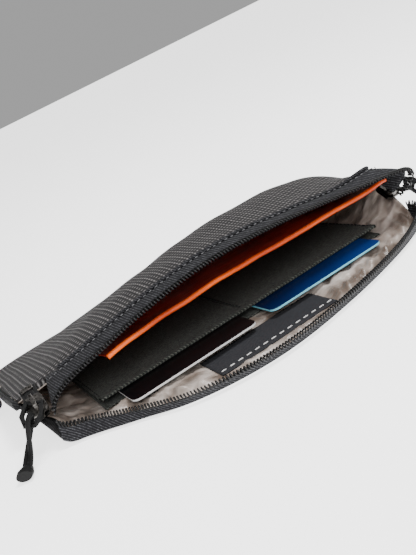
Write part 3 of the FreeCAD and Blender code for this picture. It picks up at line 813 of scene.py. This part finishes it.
def floor_lining():
    """Satin over the back panel, crumpled round the pockets and stopping short of the zip's two ends."""
    tree = tree_of(up_faces("back_lining"))
    mouth, seam = panel_edges(tree, (0.0, -0.015), ENDS_OF_BACK)
    mouth = spaced(mouth, 300)[MOUTH_TRIM:-MOUTH_TRIM]
    seam = spaced(seam, 300)[SEAM_TRIM:-SEAM_TRIM]
    mouth = [p + UNDER_LEANING_TAPE * clamp((-0.035 - p.x) / 0.015) for p in mouth]
    rows = grid_between(mouth, seam, 210, 80, lambda x, y: height_at(tree, x, y))
    rows = crumple(rows, 0.05, loose_lining, 0.002)
    lifted = []
    for i, row in enumerate(rows):
        line = []
        for p in row:
            from_zip = (p.xy - row[0].xy).length
            near_zip = min(from_zip / 0.003, 1.0) * math.exp(-from_zip / 0.011)
            gather = 0.5 + 0.5 * math.sin(i * 0.95 + 3.0 * ripple(p.x, p.y, 0.02, 4.0))
            folds = 0.4 + 1.1 * abs(ripple(p.x, p.y, 0.011, 2.0)) + 0.5 * ripple(p.x, p.y, 0.005, 6.0)
            base = height_at(tree, p.x, p.y)
            free = loose_lining(p.x, p.y)
            under_tape = LEAN_OF_TAPE * clamp((-0.035 - p.x) / 0.02)
            free *= clamp((from_zip - under_tape) / 0.003)
            z = max(p.z, base) * free + base * (1 - free)
            rise = 0.0022 * max(folds, 0.0) * free + 0.0014 * gather * near_zip * free
            line.append(Vector((p.x, p.y, z + rise)))
        lifted.append(line)
    piece = cloth_piece("floor_lining", lifted, SATIN)
    finish_piece(piece, "satin_lining", ["back_lining"])
    declare(lifted)


# ---------------------------------------------------------------- zip
def tape_strip(name, teeth, foot, node, bulge):
    """A tape between the teeth's line and its sewn foot, slightly bowed across."""
    first, last = spaced(teeth, 220), spaced(foot, 220)
    rows = []
    for a, b in zip(first, last):
        a = a.lerp(b, 0.12)
        row = []
        for j in range(9):
            share = j / 8
            row.append(a.lerp(b, share) + Vector((0, 0, bulge * math.sin(math.pi * share))))
        rows.append(row)
    piece = cloth_piece(name, rows, TAPE)
    finish_piece(piece, "zip_tape", [node])
    return rows


def coil(name, teeth, foot, node):
    """A nylon coil: one loop per tooth across the tape's edge, in one long tube."""
    points = []
    steps, sides = 12, 6
    base_line = spaced(foot, len(teeth))
    path = []
    for i in range(len(teeth) - 1):
        run = (teeth[min(i + 1, len(teeth) - 1)] - teeth[i])
        across = (teeth[i] - base_line[i]).normalized()
        out = run.normalized().cross(across).normalized()
        for k in range(steps):
            turn = 2 * math.pi * k / steps
            path.append(teeth[i] + run * (k / steps) + across * (COIL_ACROSS * math.cos(turn))
                        + out * (COIL_THICK * math.sin(turn)))
    for i, place in enumerate(path):
        run = (path[min(i + 1, len(path) - 1)] - path[max(i - 1, 0)]).normalized()
        side = run.cross(Vector((0.3, 0.2, 0.93))).normalized()
        up = side.cross(run)
        for k in range(sides):
            turn = 2 * math.pi * k / sides
            points.append(place + side * (COIL_WIRE * math.cos(turn)) + up * (COIL_WIRE * math.sin(turn)))
    piece = link_mesh(name, points, tube_faces(len(path), sides))
    finish_piece(piece, "zip_coil", [node])


def tape_stitches(name, rows, share, lift):
    """A line of short stitches along a tape."""
    column = int(share * (len(rows[0]) - 1))
    line = [row[column] for row in rows]
    length = sum((b - a).length for a, b in zip(line, line[1:]))
    spots = []
    even = spaced(line, int(length / 0.0026))
    for before, here, after in zip(even, even[1:], even[2:]):
        run = (after - before).normalized()
        spots.append((here + UP * lift, run, UP))
    piece = capsules(name, spots, 0.0012, STITCH_THICK * 0.9)
    finish_piece(piece, "grey_thread", [])


def zip_pieces(mouth, back_mouth):
    upper = tooth_line("upper_teeth")
    lower = tooth_line("lower_teeth")
    foot = tape_foot(back_mouth, lower)
    upper_rows = tape_strip("upper_tape_cloth", upper, mouth, "upper_tape", 0.0004)
    tape_strip("lower_tape_cloth", lower, foot, "lower_tape", 0.0)
    coil("upper_coil", upper, mouth, "upper_teeth")
    coil("lower_coil", lower, foot, "lower_teeth")
    tape_stitches("upper_tape_stitches", upper_rows, 0.8, 0.0005)
    welt_line = [p + Vector((0, -0.0004, 0.0006)) for p in spaced(mouth, 240)[10:-14]]
    welt = sweep("upper_welt_cord", welt_line, round_profile(WELT, 10))
    finish_piece(welt, "zip_tape", ["upper_welt"])
    low_welt = sweep("lower_welt_cord", welt_behind(foot, lower), round_profile(0.0005, 10))
    finish_piece(low_welt, "satin_lining", ["lower_welt"])
    return foot


def welt_behind(foot, teeth):
    """The line of the corded seam on the lining, further in where the tape leans over it."""
    line = []
    for i, place in enumerate(foot):
        run = foot[min(i + 1, len(foot) - 1)] - foot[max(i - 1, 0)]
        inward = Vector((-run.y, run.x, 0)).normalized()
        lean = max((teeth[i] - place).dot(inward), 0.0)
        line.append(place + inward * (0.0016 + 0.85 * lean) + Vector((0, 0, 0.0012)))
    return spaced(evened(line, 6)[10:-10], 240)


def tape_foot(edge, teeth):
    """The sewn foot of the lower tape: just outside the back panel's edge, level with each tooth."""
    foot = []
    line = spaced(edge, len(teeth))
    for i, place in enumerate(line):
        run = line[min(i + 1, len(line) - 1)] - line[max(i - 1, 0)]
        outward = Vector((run.y, -run.x, 0)).normalized()
        spot = place + outward * 0.0008
        spot.z = max(teeth[i].z - 0.0061, 0.00045)
        foot.append(spot)
    return evened(foot, 4)


# ---------------------------------------------------------------- seams
def seam_piece(seam):
    """The folded binding round the closed seams, just outside the front panel's edge."""
    line = []
    for place in seam:
        outward = Vector((place.x, (place.y - 0.03) * 0.9, 0)).normalized()
        line.append(place + outward * 0.0012)
    band = spaced(evened(line, 6), 260)
    tree = tree_of(up_faces("seam_binding"))
    for place in band:
        place.z = height_at(tree, place.x, place.y) - 0.0017
    piece = sweep("seam_band", evened(band, 4), soft_box_profile(0.0010, 0.0017, 0.0006))
    finish_piece(piece, "black_webbing", ["seam_binding"])


# ---------------------------------------------------------------- inside
def corner_grid(node, along, deep, lift):
    """Grid over a CAD sheet with four corners, with lift added to its height."""
    faces = up_faces(node)
    tree = tree_of(faces)
    loop = rim_of(faces)
    marks = [min(range(len(loop)), key=lambda k: side * loop[k].x + 2 * end * loop[k].y)
             for side, end in ((1, 1), (-1, 1), (1, -1), (-1, -1))]
    front = min(between(loop, marks[0], marks[1]), key=lambda way: max(p.y for p in way))
    rear = max(between(loop, marks[2], marks[3]), key=lambda way: min(p.y for p in way))
    return grid_between(front, rear, along, deep, lambda x, y: height_at(tree, x, y) + lift(x, y))


def divider_cloth():
    front_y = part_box("divider")[0].y

    def lift(x, y):
        inner = clamp((y - front_y) / 0.004)
        under_tape = 0.0018 * clamp((x - 0.050) / 0.020)
        return 0.0007 * ripple(x, y * 2.0, 0.02, 4.0) * inner - under_tape

    rows = corner_grid("divider", 140, 60, lift)
    piece = cloth_piece("divider_cloth", rows, 0.0004)
    finish_piece(piece, "orange_nylon", ["divider"])
    line = []
    for place in [row[0] for row in rows]:
        wave = 0.0005 * ripple(place.x, 0.0, 0.013, 8.0)
        line.append(place + Vector((0, -0.0011 + wave, 0.0001 + wave)))
    hem = sweep("divider_hem_roll", line, round_profile(0.0011, 12, 0.85))
    finish_piece(hem, "orange_hem_lit", ["divider_hem"])
    declare(rows)


def pocket_cloths():
    """The pocket fronts over the cards, their backing, seams and elastic hem."""
    for node in ("pocket_left", "pocket_right"):
        low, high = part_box(node)

        def lift(x, y, low=low, high=high):
            share = (x - low.x) / (high.x - low.x)
            edge = math.sin(math.pi * clamp(share)) ** 0.6
            return 0.0005 * edge + 0.0002 * ripple(x, y, 0.012, 1.0) * edge

        rows = corner_grid(node, 60, 60, lift)
        piece = cloth_piece(node + "_cloth", rows, 0.0005)
        finish_piece(piece, "pocket_weave", [node])
        declare(rows)
    rows = corner_grid("pocket_backing", 70, 50, lambda x, y: 0.0)
    piece = cloth_piece("pocket_backing_cloth", rows, 0.0004)
    finish_piece(piece, "pocket_weave", ["pocket_backing"])
    declare(rows)
    low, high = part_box("pocket_hem")
    middle = (low + high) / 2
    count = 120
    line = []
    for i in range(count):
        x = low.x + 0.0005 + (high.x - low.x - 0.001) * i / (count - 1)
        line.append(Vector((x, middle.y + 0.0003 * ripple(x, 0, 0.02, 1.0), middle.z + 0.0002)))
    hem = sweep("pocket_hem_band", line, soft_box_profile(0.0019, 0.0006, 0.00045))
    finish_piece(hem, "pocket_weave", ["pocket_hem"])
    seams = []
    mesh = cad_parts["pocket_seams"].data
    xs = sorted({round(v.co.x, 4) for v in mesh.vertices})
    low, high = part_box("pocket_seams")
    top = tree_of(up_faces("pocket_seams"))
    for x in (xs[0] + 0.0008, (xs[2] + xs[3]) / 2, xs[-1] - 0.0008):
        for k in range(28):
            y = low.y + (high.y - low.y) * (k + 0.5) / 28
            seams.append((Vector((x, y, height_at(top, x, y) + 0.0009)), Vector((0, 1, 0)), UP))
    stitches = capsules("pocket_seam_stitches", seams, 0.0018, STITCH_THICK)
    finish_piece(stitches, "black_webbing", ["pocket_seams"])


def label_piece():
    rows = corner_grid("label", 50, 24, lambda x, y: 0.0002 * ripple(x, y, 0.01, 3.0))
    piece = cloth_piece("label_cloth", rows, 0.0004)
    finish_piece(piece, "label_fabric", ["label"])
    low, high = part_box("label")
    spots = []
    count = 14
    for k in range(count):
        x = low.x + (high.x - low.x) * (k + 0.5) / count
        spots.append((Vector((x, low.y + 0.0026, high.z + 0.00025)), Vector((1, 0, 0)), UP))
    threads = capsules("label_threads", spots, 0.0021, 0.00026)
    finish_piece(threads, "white_thread", ["label_stitches"])
    declare(rows)


# ---------------------------------------------------------------- ends of the zip
def mirror_x(points):
    return [(-x, y, z) for x, y, z in points]


CORD_ROUTE = [  # of the left pull cord, the same places as in the CAD part
    (-0.0984, -0.0388, 0.0022), (-0.0966, -0.0348, 0.0031), (-0.0884, -0.0348, 0.0135),
    (-0.0868, -0.0358, 0.0173), (-0.0886, -0.0390, 0.0178), (-0.0909, -0.0391, 0.0142),
    (-0.0944, -0.0360, 0.0031), (-0.0966, -0.0398, 0.0022),
]


def pull_cord(side):
    """The doubled cord through the pull ring; both its ends go into the moulded grip."""
    route = CORD_ROUTE if side == "left" else mirror_x(CORD_ROUTE)
    curve = bpy.data.curves.new(side + "_cord_loop", "CURVE")
    curve.dimensions = "3D"
    curve.bevel_depth = CORD_THICK / 2
    curve.bevel_resolution = 4
    curve.resolution_u = 12
    spline = curve.splines.new("NURBS")
    spline.points.add(len(route) - 1)
    for point, place in zip(spline.points, route):
        point.co = (*place, 1.0)
    spline.order_u = 3
    spline.use_endpoint_u = True
    piece = bpy.data.objects.new(side + "_cord_loop", curve)
    bpy.context.scene.collection.objects.link(piece)
    finish_piece(piece, "black_cord", [side + "_pull_cord"], side + "_cord")
    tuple(route[0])


def strap_loop(side):
    """A folded strip of webbing with rounded bends, sewn into the side seam."""
    low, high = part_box(side + "_strap_tab")
    middle = (low + high) / 2
    half_long, half_high = (high.x - low.x) / 2 - 0.0005, (high.z - low.z) / 2 - 0.0005
    line = []
    for s, u in soft_box_profile(half_long, half_high, half_high * 0.85, 8):
        line.append(Vector((middle.x + s, middle.y, middle.z + u)))
    half = (high.y - low.y) / 2
    profile = soft_box_profile(half, 0.00045, 0.0003)
    points, faces = [], []
    count = len(profile)
    for i, place in enumerate(line):
        run = (line[(i + 1) % len(line)] - line[i - 1]).normalized()
        out = run.cross(Vector((0, 1, 0))).normalized()
        points += [place + Vector((0, 1, 0)) * s + out * u for s, u in profile]
    for i in range(len(line)):
        here, onward = i * count, (i + 1) % len(line) * count
        for k in range(count):
            after = (k + 1) % count
            faces.append((here + k, here + after, onward + after, onward + k))
    piece = link_mesh(side + "_strap_loop", points, faces)
    finish_piece(piece, "black_webbing", [side + "_strap_tab"])


def kept_pieces():
    for side in ("left", "right"):
        keep_cad(side + "_slider", "gunmetal", 0.0005)
        keep_cad(side + "_bridge", "gunmetal", 0.0003)
        keep_cad(side + "_end_stop", "gunmetal", 0.0002)
        keep_cad(side + "_chain_end", "zip_coil", 0.0002)
        keep_cad(side + "_pull_ring", "black_ring", 0.0004)
        keep_cad(side + "_cord_end", "black_grip", 0.0003)
    keep_cad("card_left", "black_card", 0.0001)
    keep_cad("card_right", "blue_card", 0.0001)


# ---------------------------------------------------------------- camera and light
def camera():
    data = bpy.data.cameras.new("camera")
    data.lens = LENS
    data.sensor_width = 36.0
    data.clip_start = 0.01
    data.clip_end = 20.0
    view = bpy.data.objects.new("camera", data)
    bpy.context.scene.collection.objects.link(view)
    back = CAMERA_RIGHT.cross(CAMERA_UP)
    turn = Matrix((CAMERA_RIGHT, CAMERA_UP, back)).transposed().to_4x4()
    view.matrix_world = Matrix.Translation(CAMERA_PLACE) @ turn
    bpy.context.scene.camera = view


def area_light(name, place, aim, power, size, colour=(1, 1, 1)):
    data = bpy.data.lights.new(name, "AREA")
    data.energy = power
    data.size = size
    data.color = colour
    lamp = bpy.data.objects.new(name, data)
    bpy.context.scene.collection.objects.link(lamp)
    lamp.location = place
    lamp.rotation_mode = "QUATERNION"
    lamp.rotation_quaternion = (Vector(aim) - Vector(place)).to_track_quat("-Z", "Y")


def studio():
    world = bpy.data.worlds.new("studio")
    bpy.context.scene.world = world
    world.use_nodes = True
    world.node_tree.nodes["Background"].inputs[0].default_value = (1, 1, 1, 1)
    world.node_tree.nodes["Background"].inputs[1].default_value = 0.4
    area_light("key", (0.25, -0.15, 0.75), (0, -0.02, 0), 7.5, 0.25)
    area_light("fill", (-0.2, -0.75, 0.45), (0, 0, 0), 6.0, 0.5)
    points = [(-3, -3, -0.0004), (3, -3, -0.0004), (3, 3, -0.0004), (-3, 3, -0.0004)]
    floor = link_mesh("floor", [Vector(p) for p in points], [(0, 1, 2, 3)])
    look = Look("floor", 0.9)
    cloud = look.noise(0.3, 2.0)
    look.put("Base Color", look.ramp(cloud, (0.2, (0.90, 0.90, 0.90)), (0.8, (0.94, 0.94, 0.94))))
    look.put("Emission Color", (1, 1, 1, 1))
    look.put("Emission Strength", 2.0)
    floor.data.materials.append(look.material)


# ---------------------------------------------------------------- build
camera()
for one_side in ("left", "right"):
    pull_cord(one_side)
front_mouth, front_seam, front_tree = front_shell()
front_lining_cloth(front_mouth, front_seam, front_tree)
back_mouth = back_shell()
floor_lining()
zip_pieces(front_mouth, back_mouth)
seam_piece(front_seam)
divider_cloth()
pocket_cloths()
label_piece()
for one_side in ("left", "right"):
    strap_loop(one_side)
kept_pieces()
studio()
